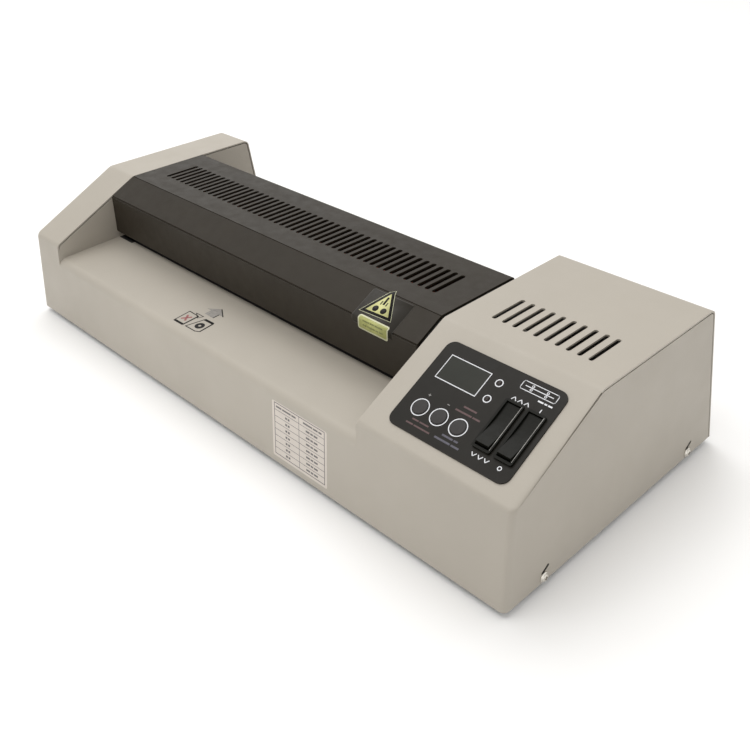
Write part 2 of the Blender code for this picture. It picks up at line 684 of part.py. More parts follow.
def heaters():
    """Curved aluminium shells round the backs of the hot rollers, and the thermostat on top."""
    inner, outer = SHELL_R
    steps = 10
    for name, z in (("upper", UPPER_Z), ("lower", LOWER_Z)):
        start = SHELL_STARTS[name]
        turns = [math.radians(start + SHELL_ARC * k / steps) for k in range(steps + 1)]
        band = [(HOT_Y + outer * math.cos(a), z + outer * math.sin(a)) for a in turns]
        band += [(HOT_Y + inner * math.cos(a), z + inner * math.sin(a)) for a in reversed(turns)]
        prism(f"heater_shell_{name}", [band], *SHELL_X, ALONG_X, "aluminium")
    top = UPPER_Z + outer + GAP
    disc = [(0, top), (8.0, top), (8.0, top + 3.0), (5.5, top + 3.2), (5.5, top + 8.0), (0, top + 8.0)]
    turned("thermostat", disc, (THERMOSTAT_X, HOT_Y), ALONG_Z, "black_plastic", 20)


def inlet_outline(slack):
    """The mains inlet's body on the rear face, with its two cut corners."""
    u, v = INLET_MIDDLE
    w, h, cut = INLET_HALF[0] + slack, INLET_HALF[1] + slack, INLET_CORNER
    points = [(-w, h), (-w, -h + cut), (-w + cut, -h), (w - cut, -h), (w, -h + cut), (w, h)]
    return [(u + a, v + b) for a, b in points]


def electrics():
    """The mains inlet in the rear face and the transformer on the base pan."""
    flange = [rectangle(*INLET_MIDDLE, *INLET_FLANGE, 3)]
    inlet = prism("mains_inlet", flange, GAP, 2.0, ON_REAR, "black_plastic")
    combine(inlet, prism("join_inlet", [inlet_outline(0.0)], -17.0, 1.0, ON_REAR), "UNION")
    combine(inlet, prism("cut_inlet_well", [inlet_outline(-INLET_WALL)], -14.0, REACH, ON_REAR))
    u, v = INLET_MIDDLE
    pins = [rectangle(u + du, v + dv, 2.0, 4.0) for du, dv in INLET_PINS]
    combine(inlet, prism("join_pins", pins, -15.0, -6.0, ON_REAR), "UNION")
    core = box("transformer", (464, 128, 1.5), (498, 166, 32), "core_steel")
    combine(core, box("join_coil", (470, 122, 8), (492, 172, 26)), "UNION")


def main():
    for old in list(bpy.data.objects):
        bpy.data.objects.remove(old)
    tower_wraps()
    end_panels()
    cheeks()
    table_panel()
    exit_panel()
    base_pan()
    centre_cover()
    case_screws()
    feet()
    control_overlay()
    buttons()
    control_board()
    switches()
    rollers()
    drive()
    roller_frame()
    heaters()
    electrics()


main()
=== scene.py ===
"""The pouch laminator's looks: a seamless bent case, the vented cover, the printed control panel,
labels, and a procedural finish for every piece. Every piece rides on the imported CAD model.

Lengths are in millimetres from the case's left end, front top edge and underside, as case() reads
them, and faces such as SLOPE map (u, v, w) millimetres onto a flat side of the machine."""

import json
import math

import bmesh
import bpy
from mathutils import Matrix, Vector


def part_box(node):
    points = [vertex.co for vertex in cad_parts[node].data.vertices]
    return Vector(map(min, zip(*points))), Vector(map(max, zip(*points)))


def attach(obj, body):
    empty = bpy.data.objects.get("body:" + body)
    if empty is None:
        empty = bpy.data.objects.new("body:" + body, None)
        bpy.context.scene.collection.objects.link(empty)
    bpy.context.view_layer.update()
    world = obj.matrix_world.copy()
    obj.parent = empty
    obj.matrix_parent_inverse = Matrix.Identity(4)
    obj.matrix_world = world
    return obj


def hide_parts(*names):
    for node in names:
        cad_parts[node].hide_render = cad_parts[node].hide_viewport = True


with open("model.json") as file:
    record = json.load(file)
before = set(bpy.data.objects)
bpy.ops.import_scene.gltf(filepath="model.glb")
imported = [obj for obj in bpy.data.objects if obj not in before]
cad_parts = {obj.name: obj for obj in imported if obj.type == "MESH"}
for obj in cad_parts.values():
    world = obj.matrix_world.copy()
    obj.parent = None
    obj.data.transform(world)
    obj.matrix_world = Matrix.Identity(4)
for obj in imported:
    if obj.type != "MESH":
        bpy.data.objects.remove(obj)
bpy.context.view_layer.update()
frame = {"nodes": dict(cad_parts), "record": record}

MM = 0.001
SMOOTH_ANGLE = math.radians(35)
BEND_STEPS = 8

# Sheet metal: its thickness, the play behind it, and the cheeks' lower edge, play and the drop
# from the case's front top edge to where their front edge starts to bend
SHEET = 1.2
SEAM = 0.75
CHEEK_FOOT_Z = 14.0
CHEEK_PLAY = 0.03
CHEEK_BEND_DROP = 4.5

# How far edges are rounded
CASE_EDGE = 0.22
CHEEK_EDGE = 0.3
COVER_EDGE = 0.2
SCREW_EDGE = 0.08
FILM_EDGE = 0.12
ROCKER_EDGE = 0.5
BUTTON_EDGE = 0.12
MOULDED_EDGE = 0.3

# Case screws: a slot's (length, height, slant in degrees) and its place from the screw, and a
# head's (radius, rise)
HOOK_SLOT = (7.6, 2.4, 32.0)
HOOK_SLOT_AT = (1.2, 4.6)
SCREW_HOLE_R = 1.9
SCREW_HEAD = (3.3, 1.1)
SCREW_RECESS = (3.0, 0.75)
SCREW_SIDES = 32

# Holes: through the cheeks for the shafts and tie rods, and for the mains inlet's body, as
# (width, height, corner radius)
SHAFT_HOLE_R = 6.0
TIE_ROD_HOLE_R = 4.0
INLET_HOLE = (29.0, 21.0, 1.0)

# Profile of the case, as (y, z)
FRONT_LEAN = 3.7
FRONT_TOP = (0.0, 65.9)
SLOPE_TOP = (76.1, 104.2)
REAR_TOP = (197.1, 104.2)
REAR_BOTTOM = (213.9, 0.0)
TOWER_BENDS = (5.0, 9.0, 5.0)
CORNER_R = 4.0
CORNER_FADE = 16.0
TABLE_Z = 53.3
SLOT_FLOOR = (54.1, 55.4)
EXIT_SHELF_Z = 50.0

# The feed slot's throat, darkened with painted shade: the black strip's (front, rear) y, its left
# end's (length, front y), and its play at the cheeks
THROAT_SHADE = (58.0, 65.5)
THROAT_SHADE_END = (19.0, 55.2)
THROAT_SHADE_PLAY = 0.4

# The cover's profile, with its lips' inner edges, its vents, the (width, depth) of its creases
# and the black sheet of painted shade in the gap at its right end
COVER_FRONT_LIP_Y = 60.5
COVER_LIP_Z = 60.2
COVER_FRONT_Y = 54.1
COVER_FOLD = (53.8, 92.8)
COVER_REAR_Y = 148.4
COVER_REAR_LIP = (143.0, 62.0)
COVER_REAR_BEND = 3.0
LIP_BEND = 1.8
VENT_YS = (95.3, 126.4)
COVER_VENTS = 48
COVER_VENT_WIDTH = 3.5
TOWER_VENTS = 10
TOWER_VENT_WIDTH = 3.2
FRONT_CREASE = (1.7, 1.2)
TOP_CREASE = (0.9, 0.7)
COVER_END_GAP = 2.0
GAP_SHADE_LAP = 3.0
GAP_SHADE_PLAY = 0.3
GAP_SHADE_SHEET = 0.4

# Prints and labels. A print runs from just under its surface to its height above it. The labels
# are (left, right, low, high), and the cover's heights are measured up from its front fold. The
# triangle is (x, foot, width, height, tilt in degrees). The cover's layers lie one above another
PRINT = (-0.02, 0.05)
STICKER = 0.04
FILM_EDGE_LIFT, FILM_LIFT, RIM_LIFT, GROUND_LIFT, FIELD_LIFT, MARK_LIFT = (
    0.05, 0.07, 0.10, 0.13, 0.16, 0.19
)
CLEAR_FILM = (329.4, 366.0, -5.0, 23.6)
TRIANGLE = (345.6, 5.4, 27.8, 24.0, 3.1)
STRIP_LABEL = (335.1, 362.1, -7.7, 3.0)
FRONT_LABEL = (311.1, 363.6, 4.6, 46.3)
LABEL_ROWS = 7
PICTOGRAM = (189.6, 8.4)

# The control panel: what is on it, its film, the height of its ink, and the holes and rings
BUTTONS = ("button_up", "button_down", "button_mode")
LAMPS = ("led_ready", "led_power")
SWITCHES = ("direction", "power")
FILM = 0.8
INK_HEIGHT = 0.06
PANEL_PRINT = (FILM - 0.02, FILM + INK_HEIGHT)
OVERLAY_R = 6.0
BUTTON_HOLE_R = 5.25
BUTTON_RING = (5.25, 5.85)
LAMP_HOLE_R = 2.0
LAMP_RING = (1.95, 2.6)

ORIGIN = Vector((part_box("left_end_panel")[0].x, 0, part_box("left_tower_wrap")[0].z))
ORIGIN.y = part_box("left_tower_wrap")[0].y + FRONT_LEAN * MM


def case(x, y, z):
    """A case point in metres, in the row frame."""
    return ORIGIN + Vector((x, y, z)) * MM


def across(node, end):
    """The node's lowest (end 0) or highest (end 1) x in case millimetres."""
    return (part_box(node)[end].x - ORIGIN.x) / MM


WIDTH = across("right_end_panel", 1)
LEFT_TOWER = across("left_cheek", 1)
RIGHT_TOWER = across("right_cheek", 0)


def face(origin, u, v):
    """A matrix from (u, v, w) millimetres to metres, with w along u cross v."""
    u, v = Vector(u).normalized(), Vector(v).normalized()
    turn = Matrix((u, v, u.cross(v))).transposed().to_4x4() * MM
    turn[3][3] = 1.0
    return Matrix.Translation(case(*origin)) @ turn


def side_face(start, end, along=(1, 0, 0)):
    """The face through two (y, z) points of the profile, with v running from start to end."""
    return face((0, *start), along, (0, end[0] - start[0], end[1] - start[1]))


def front_y(z):
    """The leaning front's y at a height."""
    return -FRONT_LEAN * (1 - z / FRONT_TOP[1])


SLOPE = side_face(FRONT_TOP, SLOPE_TOP)
FRONT = side_face((-FRONT_LEAN, 0), FRONT_TOP)
TOP = face((0, 0, SLOPE_TOP[1]), (1, 0, 0), (0, 1, 0))
TABLE = side_face((front_y(TABLE_Z), TABLE_Z), SLOT_FLOOR)
REAR = side_face(REAR_BOTTOM, REAR_TOP, (-1, 0, 0))
RIGHT_END = face((WIDTH, 0, 0), (0, 1, 0), (0, 0, 1))
LEFT_END = face((0, 0, 0), (0, -1, 0), (0, 0, 1))
SIDE = face((0, 0, 0), (0, 1, 0), (0, 0, 1))


def extent(node, on):
    """The node's lowest and highest (u, v, w) on a face, in millimetres."""
    back = on.inverted()
    points = [back @ vertex.co for vertex in frame["nodes"][node].data.vertices]
    return Vector(map(min, zip(*points))), Vector(map(max, zip(*points)))


def middle(node, on):
    low, high = extent(node, on)
    return (low + high) / 2


def plan(node, on):
    """The node's middle and size on a face, as (u, v, width, height)."""
    low, high = extent(node, on)
    return (low.x + high.x) / 2, (low.y + high.y) / 2, high.x - low.x, high.y - low.y


# ---------------------------------------------------------------- materials


def node_at(tree, kind, x, y, **settings):
    made = tree.nodes.new(kind)
    made.location = (x, y)
    for name, value in settings.items():
        setattr(made, name, value)
    return made


def noise(tree, coords, size_mm, detail, y):
    """Noise with features of a size in millimetres."""
    made = node_at(tree, "ShaderNodeTexNoise", -700, y)
    made.inputs["Scale"].default_value = 1000 / size_mm
    made.inputs["Detail"].default_value = detail
    tree.links.new(coords, made.inputs["Vector"])
    return made.outputs["Fac"]


def ramp(tree, value, low, high, y):
    """Maps noise, which stays near 0.5, onto low to high."""
    made = node_at(tree, "ShaderNodeMapRange", -450, y)
    made.inputs["From Min"].default_value = 0.3
    made.inputs["From Max"].default_value = 0.7
    made.inputs["To Min"].default_value = low
    made.inputs["To Max"].default_value = high
    tree.links.new(value, made.inputs["Value"])
    return made.outputs["Result"]


def finish(
    name,
    colour,
    roughness,
    metallic=0.0,
    mottle=(40.0, 0.04),
    grain=((0.6, 0.03),),
    rough_spread=0.06,
    brushed=None,
    coat=0.0,
    specular=0.5,
):
    """A procedural finish. A grain is (size, depth) in mm, and mottle is (size in mm, amount)."""
    made = bpy.data.materials.new(name)
    made.use_nodes = True
    tree = made.node_tree
    surface = tree.nodes["Principled BSDF"]
    coords = node_at(tree, "ShaderNodeTexCoord", -1150, 0).outputs["Object"]
    if brushed:
        stretch = node_at(tree, "ShaderNodeMapping", -950, 0)
        stretch.inputs["Scale"].default_value = brushed
        tree.links.new(coords, stretch.inputs["Vector"])
        coords = stretch.outputs["Vector"]
    tint = node_at(tree, "ShaderNodeMix", -200, 300, data_type="RGBA")
    size, amount = mottle
    tree.links.new(ramp(tree, noise(tree, coords, size, 4, 300), 0, 1, 300), tint.inputs["Factor"])
    tint.inputs["A"].default_value = (*(c * (1 - amount) for c in colour), 1)
    tint.inputs["B"].default_value = (*(min(c * (1 + amount), 1) for c in colour), 1)
    tree.links.new(tint.outputs["Result"], surface.inputs["Base Color"])
    low, high = max(roughness - rough_spread, 0.03), min(roughness + rough_spread, 1.0)
    spread = ramp(tree, noise(tree, coords, size / 3, 5, 0), low, high, 0)
    tree.links.new(spread, surface.inputs["Roughness"])
    normal = None
    for i, (grain_size, depth) in enumerate(grain):
        bump = node_at(tree, "ShaderNodeBump", -200, -300 - 250 * i)
        bump.inputs["Distance"].default_value = depth * MM
        height = noise(tree, coords, grain_size, 3, -300 - 250 * i)
        tree.links.new(height, bump.inputs["Height"])
        if normal:
            tree.links.new(normal, bump.inputs["Normal"])
        normal = bump.outputs["Normal"]
    if normal:
        tree.links.new(normal, surface.inputs["Normal"])
    surface.inputs["Metallic"].default_value = metallic
    surface.inputs["Coat Weight"].default_value = coat
    surface.inputs["Specular IOR Level"].default_value = specular
    return made


INK = dict(roughness=0.5, mottle=(1.5, 0.2), grain=((0.2, 0.01),))
LABEL = dict(roughness=0.4, mottle=(4, 0.08), grain=((0.3, 0.01),))
LOOKS = {
    "beige_paint": dict(
        colour=(0.408, 0.374, 0.321),
        roughness=0.5,
        mottle=(60, 0.02),
        grain=((1.6, 0.05), (0.35, 0.02)),
    ),
    "dark_paint": dict(
        colour=(0.0245, 0.0193, 0.0128),
        roughness=0.46,
        mottle=(25, 0.06),
        grain=((0.9, 0.04), (0.3, 0.02)),
        specular=0.2,
    ),
    "zinc_steel": dict(
        colour=(0.55, 0.56, 0.57),
        roughness=0.38,
        metallic=1.0,
        mottle=(12, 0.12),
        brushed=(1, 6, 6),
    ),
    "steel": dict(
        colour=(0.6, 0.6, 0.6),
        roughness=0.22,
        metallic=1.0,
        brushed=(0.1, 4, 4),
        grain=((0.8, 0.01),),
    ),
    "nickel": dict(
        colour=(0.72, 0.69, 0.63),
        roughness=0.22,
        metallic=1.0,
        mottle=(3, 0.06),
        grain=((0.5, 0.01),),
    ),
    "aluminium": dict(
        colour=(0.72, 0.73, 0.74),
        roughness=0.35,
        metallic=1.0,
        mottle=(20, 0.05),
        brushed=(0.08, 3, 3),
    ),
    "overlay_film": dict(
        colour=(0.010, 0.0085, 0.006),
        roughness=0.42,
        mottle=(20, 0.15),
        grain=((0.25, 0.012),),
        specular=0.2,
    ),
    "smoked_lens": dict(
        colour=(0.015, 0.016, 0.011), roughness=0.35, mottle=(15, 0.1), grain=(), specular=0.22
    ),
    "led_lens": dict(
        colour=(0.022, 0.014, 0.012), roughness=0.25, mottle=(2, 0.1), grain=(), specular=0.3
    ),
    "button_film": dict(
        colour=(0.024, 0.022, 0.021),
        roughness=0.38,
        mottle=(6, 0.1),
        grain=((0.25, 0.012),),
        specular=0.3,
    ),
    "black_plastic": dict(
        colour=(0.008, 0.008, 0.006),
        roughness=0.36,
        mottle=(10, 0.1),
        grain=((0.3, 0.012),),
        specular=0.12,
    ),
    "gear_plastic": dict(colour=(0.75, 0.73, 0.66), roughness=0.45, mottle=(8, 0.05)),
    "silicone": dict(
        colour=(0.42, 0.085, 0.05), roughness=0.55, mottle=(30, 0.08), grain=((2, 0.04),)
    ),
    "rubber": dict(
        colour=(0.022, 0.022, 0.022), roughness=0.75, mottle=(5, 0.15), grain=((0.5, 0.04),)
    ),
    "circuit_board": dict(colour=(0.03, 0.16, 0.07), roughness=0.4, mottle=(3, 0.25), coat=0.3),
    "motor_can": dict(colour=(0.42, 0.43, 0.45), roughness=0.35, metallic=1.0, brushed=(4, 1, 1)),
    "core_steel": dict(
        colour=(0.12, 0.12, 0.13), roughness=0.5, metallic=1.0, brushed=(0.2, 5, 0.2)
    ),
    "white_ink": dict(INK, colour=(0.72, 0.73, 0.76), mottle=(1.5, 0.08)),
    "red_ink": dict(INK, colour=(0.085, 0.042, 0.042)),
    "blue_ink": dict(INK, colour=(0.075, 0.072, 0.095)),
    "black_ink": dict(INK, colour=(0.010, 0.009, 0.009), specular=0.2),
    "label_ink": dict(INK, colour=(0.12, 0.11, 0.11)),
    "label_rim": dict(LABEL, colour=(0.64, 0.64, 0.44)),
    "grey_ink": dict(INK, colour=(0.23, 0.22, 0.21)),
    # Painted highlight: the bright grey of the strips along the bezels' right edges
    "painted_highlight_grey": dict(INK, colour=(0.30, 0.29, 0.27), roughness=0.4, mottle=(3, 0.3)),
    "red_print": dict(INK, colour=(0.30, 0.10, 0.10)),
    "grey_print": dict(INK, colour=(0.27, 0.255, 0.235)),
    "olive_ink": dict(INK, colour=(0.20, 0.21, 0.07)),
    "label_paper": dict(LABEL, colour=(0.60, 0.55, 0.50), roughness=0.55, mottle=(12, 0.03)),
    "label_yellow": dict(LABEL, colour=(0.60, 0.59, 0.26), mottle=(6, 0.08)),
    "label_green": dict(LABEL, colour=(0.38, 0.39, 0.13), mottle=(4, 0.12)),
    "clear_film": dict(
        colour=(0.020, 0.0165, 0.0115), roughness=0.42, mottle=(6, 0.1), grain=(), specular=0.3
    ),
    "film_edge": dict(
        colour=(0.065, 0.060, 0.052), roughness=0.4, mottle=(6, 0.1), grain=(), specular=0.3
    ),
}
FINISHES = {name: finish(name, **look) for name, look in LOOKS.items()}


def repaint():
    """Gives every CAD node its slot's procedural finish."""
    slots = {part["node"]: part["material_slot"] for part in frame["record"]["subparts"]}
    for name, node in frame["nodes"].items():
        node.data.materials.clear()
        node.data.materials.append(FINISHES[slots[name]])
        node.data.shade_smooth()
        node.data.set_sharp_from_angle(angle=SMOOTH_ANGLE)


# ---------------------------------------------------------------- mesh helpers


def piece(name, built, paint, body="case"):
    """A bmesh in metres as a piece of the object, riding on a body."""
    mesh = bpy.data.meshes.new(name)
    built.to_mesh(mesh)
    built.free()
    made = bpy.data.objects.new(name, mesh)
    bpy.context.scene.collection.objects.link(made)
    mesh.materials.append(FINISHES[paint])
    mesh.shade_smooth()
    mesh.set_sharp_from_angle(angle=SMOOTH_ANGLE)
    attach(made, body)
    return made


def add_prism(built, outline, low, high, on):
    """One closed prism over a counter-clockwise (u, v) outline, from w = low to w = high."""
    rings = [[built.verts.new(on @ Vector((u, v, w))) for u, v in outline] for w in (low, high)]
    built.faces.new(rings[0][::-1])
    built.faces.new(rings[1])
    count = len(outline)
    for i in range(count):
        j = (i + 1) % count
        built.faces.new((rings[0][i], rings[0][j], rings[1][j], rings[1][i]))


def add_ring(built, centre, radii, low, high, on, sides=40):
    """A flat ring between two radii."""
    rows = []
    for radius, w in ((radii[0], low), (radii[1], low), (radii[1], high), (radii[0], high)):
        outline = circle(*centre, radius, sides)
        rows.append([built.verts.new(on @ Vector((u, v, w))) for u, v in outline])
    for first, second in zip(rows, rows[1:] + rows[:1]):
        for k in range(sides):
            j = (k + 1) % sides
            built.faces.new((first[k], first[j], second[j], second[k]))


def circle(u, v, radius, sides=32):
    turns = [2 * math.pi * k / sides for k in range(sides)]
    return [(u + radius * math.cos(a), v + radius * math.sin(a)) for a in turns]


def rectangle(u, v, width, height, radius=0.0, steps=8):
    """A rectangle about (u, v), with rounded corners if it has a radius."""
    half_w, half_h = width / 2, height / 2
    if radius == 0:
        signs = ((-1, -1), (1, -1), (1, 1), (-1, 1))
        return [(u + a * half_w, v + b * half_h) for a, b in signs]
    points = []
    for quarter, (a, b) in enumerate(((1, 1), (-1, 1), (-1, -1), (1, -1))):
        for k in range(steps + 1):
            turn = math.pi / 2 * (quarter + k / steps)
            du, dv = radius * math.cos(turn), radius * math.sin(turn)
            points.append((u + a * (half_w - radius) + du, v + b * (half_h - radius) + dv))
    return points


def bar(start, end, width):
    """A thick straight line as an outline."""
    along = (Vector(end) - Vector(start)).normalized() * width / 2
    side = Vector((-along.y, along.x))
    corners = (Vector(start) - side, Vector(end) - side, Vector(end) + side, Vector(start) + side)
    return [tuple(corner) for corner in corners]


def trace(points, width):
    """Bars along a closed outline, each run half a width past its corners."""
    bars = []
    for start, end in zip(points, points[1:] + points[:1]):
        past = (Vector(end) - Vector(start)).normalized() * width / 2
        bars.append(bar(Vector(start) - past, Vector(end) + past, width))
    return bars


def shrunk(points, distance):
    """A convex outline with its sides moved in by a distance."""
    count = len(points)
    moved = []
    for i in range(count):
        before, here, after = (Vector(points[(i + k) % count]) for k in (-1, 0, 1))
        back, on = (before - here).normalized(), (after - here).normalized()
        half = back.angle(on) / 2
        moved.append(tuple(here + (back + on).normalized() * (distance / math.sin(half))))
    return moved


def dashes(start, end, v, height, lengths):
    """A row of short marks from start to end in place of a line of words."""
    gap = 0.7
    scale = (end - start - gap * (len(lengths) - 1)) / sum(lengths)
    outlines, u = [], start
    for length in lengths:
        outlines.append(bar((u, v), (u + length * scale, v), height))
        u += length * scale + gap
    return outlines


def border(low, high, width):
    """Four bars round a box, inside it."""
    (u0, v0), (u1, v1) = low, high
    h = width / 2
    return [
        bar((u0, v0 + h), (u1, v0 + h), width),
        bar((u0, v1 - h), (u1, v1 - h), width),
        bar((u0 + h, v0 + width), (u0 + h, v1 - width), width),
        bar((u1 - h, v0 + width), (u1 - h, v1 - width), width),
    ]


def prints(name, outlines, low, high, on, paint, body="case", slot=None):
    """Thin printed or cut shapes on a face."""
    built = bmesh.new()
    for outline in outlines:
        add_prism(built, outline, low, high, on)
    bmesh.ops.recalc_face_normals(built, faces=built.faces)
    return piece(name, built, paint, body)


def cut(target, outlines, low, high, on):
    """Cuts prisms out of a piece."""
    built = bmesh.new()
    for outline in outlines:
        add_prism(built, outline, low, high, on)
    bmesh.ops.recalc_face_normals(built, faces=built.faces)
    mesh = bpy.data.meshes.new("cutter")
    built.to_mesh(mesh)
    built.free()
    cutter = bpy.data.objects.new("cutter", mesh)
    bpy.context.scene.collection.objects.link(cutter)
    step = target.modifiers.new("cut", "BOOLEAN")
    step.solver = "EXACT"
    step.object = cutter
    bake(target)
    bpy.data.objects.remove(cutter)


def bake(target):
    """Applies the modifiers."""
    bpy.context.view_layer.update()
    depsgraph = bpy.context.evaluated_depsgraph_get()
    mesh = bpy.data.meshes.new_from_object(target.evaluated_get(depsgraph))
    target.modifiers.clear()
    target.data = mesh


def thicken(target, thickness):
    step = target.modifiers.new("sheet", "SOLIDIFY")
    step.thickness = thickness * MM
    step.offset = -1
    step.use_even_offset = True
    bake(target)


def soften(target, width, segments=2, angle=40):
    """Rounds the edges and keeps the flat sides flat."""
    step = target.modifiers.new("edges", "BEVEL")
    step.width = width * MM
    step.segments = segments
    step.limit_method = "ANGLE"
    step.angle_limit = math.radians(angle)
    step.use_clamp_overlap = True
    step.harden_normals = True
    bake(target)


def bent(corners, radii, steps=BEND_STEPS):
    """A path through (y, z) corners with its bends rounded."""
    path = [Vector(corners[0])]
    for i, radius in enumerate(radii, 1):
        before, here, after = (Vector(corners[i + k]) for k in (-1, 0, 1))
        if radius == 0:
            path.append(here)
            continue
        back, on = (before - here).normalized(), (after - here).normalized()
        half = back.angle(on) / 2
        reach = radius / math.tan(half)
        centre = here + (back + on).normalized() * (radius / math.sin(half))
        start, end = here + back * reach - centre, here + on * reach - centre
        turn = start.angle_signed(end)
        for k in range(steps + 1):
            path.append(centre + Matrix.Rotation(-turn * k / steps, 2) @ start)
    path.append(Vector(corners[-1]))
    return path


def inset(path, distance):
    """The path moved to its right by a distance, square to each stretch."""
    moved = []
    for i, point in enumerate(path):
        stretches = []
        if i > 0:
            stretches.append((point - path[i - 1]).normalized())
        if i < len(path) - 1:
            stretches.append((path[i + 1] - point).normalized())
        normals = [Vector((s.y, -s.x)) for s in stretches]
        along = sum(normals, Vector((0, 0))).normalized()
        moved.append(point + along * (distance / along.dot(normals[0])))
    return moved


def sheet_of(built, columns):
    """Quads between neighbouring columns of case points."""
    rows = [[built.verts.new(case(*point)) for point in column] for column in columns]
    for first, second in zip(rows, rows[1:]):
        for a, b in zip(range(len(first)), range(1, len(first))):
            built.faces.new((first[a], second[a], second[b], first[b]))


# ---------------------------------------------------------------- case


# Corners as (y, z) and the radius of each bend between them
TOWER = ((-FRONT_LEAN, 0.0), FRONT_TOP, SLOPE_TOP, REAR_TOP, REAR_BOTTOM)
TABLE_CORNERS = (
    TOWER[0],
    (front_y(TABLE_Z), TABLE_Z),
    SLOT_FLOOR,
    (66.0, SLOT_FLOOR[1]),
    (67.8, SLOT_FLOOR[1] - 4.5),
)
TABLE_BENDS = (7.0, 20.0, 1.8)
EXIT_CORNERS = (
    (141.0, 48.6),
    (142.6, 52.6),
    (REAR_BOTTOM[0] + (REAR_TOP[0] - REAR_BOTTOM[0]) * EXIT_SHELF_Z / REAR_TOP[1], EXIT_SHELF_Z),
    REAR_BOTTOM,
)
EXIT_BENDS = (1.8, 6.0)


def corner_columns():
    """(distance from the end, setback) pairs round an upright corner, from the end inwards."""
    turns = [math.pi / 2 * k / 6 for k in range(7)]
    return [(CORNER_R * (1 - math.cos(a)), CORNER_R * (1 - math.sin(a))) for a in turns]


def fades(path):
    """How much of the upright corner's rounding is left at each point up the path."""
    left, walked = [], 0.0
    for i, point in enumerate(path):
        walked += (point - path[i - 1]).length if i else 0.0
        share = max(0.0, 1 - walked / CORNER_FADE)
        left.append(share * share * (3 - 2 * share))
    return left


def tower_columns(rows, rest, end_x, inner_x):
    """The tower's columns from its end to its inner edge, set back round the upright corner."""
    inward = 1 if inner_x > end_x else -1
    columns = []
    for distance, setback in corner_columns():
        x = end_x + inward * distance
        columns.append([(x, p.x + setback * f, p.y) for p, f in zip(rows, rest)])
    columns.append([(inner_x, p.x, p.y) for p in rows])
    return columns if inward > 0 else columns[::-1]


def case_shell():
    """One bent sheet: the front, both towers, the feed table, the exit shelf and the ends."""
    tower = bent(TOWER, TOWER_BENDS)
    table = bent(TABLE_CORNERS, TABLE_BENDS)
    shelf = bent(EXIT_CORNERS, EXIT_BENDS)
    low_rows, high_rows = [tower[0], table[1]], [table[1], tower[1]]
    wrap_rows = tower[1:-1] + [shelf[-2], tower[-1]]
    wrap_fades = fades(wrap_rows)
    built = bmesh.new()
    lower = tower_columns(low_rows, (1, 1), 0.0, LEFT_TOWER)
    lower += tower_columns(low_rows, (1, 1), WIDTH, RIGHT_TOWER)
    sheet_of(built, lower)
    for end_x, inner_x in ((0.0, LEFT_TOWER), (WIDTH, RIGHT_TOWER)):
        sheet_of(built, tower_columns(high_rows, (1, 1), end_x, inner_x))
        sheet_of(built, tower_columns(wrap_rows, wrap_fades, end_x, inner_x))
    for rows in (table[1:], shelf):
        sheet_of(built, [[(x, p.x, p.y) for p in rows] for x in (LEFT_TOWER, RIGHT_TOWER)])
    inner = inset(wrap_rows, SHEET + SEAM)
    outline = [(p.x + CORNER_R, p.y) for p in low_rows]
    for p, q, f in zip(wrap_rows, inner, wrap_fades):
        edge = Vector((p.x + CORNER_R * f, p.y)).lerp(q, 1 - f)
        outline.append((edge.x, max(edge.y, 0.0)))
    left = [built.verts.new(case(0.0, *point)) for point in outline]
    right = [built.verts.new(case(WIDTH, *point)) for point in outline]
    built.faces.new(left)
    built.faces.new(right[::-1])
    bmesh.ops.remove_doubles(built, verts=built.verts, dist=0.00001)
    shell = piece("case_shell", built, "beige_paint")
    thicken(shell, SHEET)
    xs = vent_middles("right_tower_wrap", TOWER_VENTS)
    cut(shell, vents(xs, TOWER_VENT_WIDTH), -4, 4, TOP)
    cut(shell, panel_holes(), -5, 5, SLOPE)
    cut(shell, [inlet_hole()], -5, 5, REAR)
    for end, on in (("left", LEFT_END), ("right", RIGHT_END)):
        cut(shell, screw_slots(end, on), -4, 4, on)
    soften(shell, CASE_EDGE)
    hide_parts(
        "left_tower_wrap",
        "right_tower_wrap",
        "table_panel",
        "exit_panel",
        "left_end_panel",
        "right_end_panel",
    )


def vent_middles(node, count):
    """The x of each vent in a row, read from the edges of the slots in the CAD sheet."""
    edges = sorted(
        {
            round((v.co.x - ORIGIN.x) / MM, 1)
            for v in frame["nodes"][node].data.vertices
            if abs((v.co.y - ORIGIN.y) / MM - VENT_YS[0]) < 0.05
        }
    )
    return [edges[0] + (edges[-1] - edges[0]) * k / (count - 1) for k in range(count)]


def vents(xs, width):
    """Slots with round ends, front to back."""
    length = VENT_YS[1] - VENT_YS[0]
    return [rectangle(x, sum(VENT_YS) / 2, width, length, width / 2 - 0.01, 4) for x in xs]


def panel_holes():
    """The openings in the slope under the overlay."""
    holes = [circle(*middle(button, SLOPE)[:2], BUTTON_HOLE_R) for button in BUTTONS]
    holes += [circle(*middle(lamp, SLOPE)[:2], LAMP_HOLE_R, 16) for lamp in LAMPS]
    for switch in SWITCHES:
        u, v, width, height = plan(f"{switch}_switch_body", SLOPE)
        holes.append(rectangle(u, v, width - 0.8, height - 1.2))
    u, v, width, height = plan("display_window", SLOPE)
    holes.append(rectangle(u, v, width - 3, height - 3))
    return holes


def inlet_hole():
    """The opening for the mains inlet's body, smaller than its flange."""
    return rectangle(*plan("mains_inlet", REAR)[:2], *INLET_HOLE, steps=3)


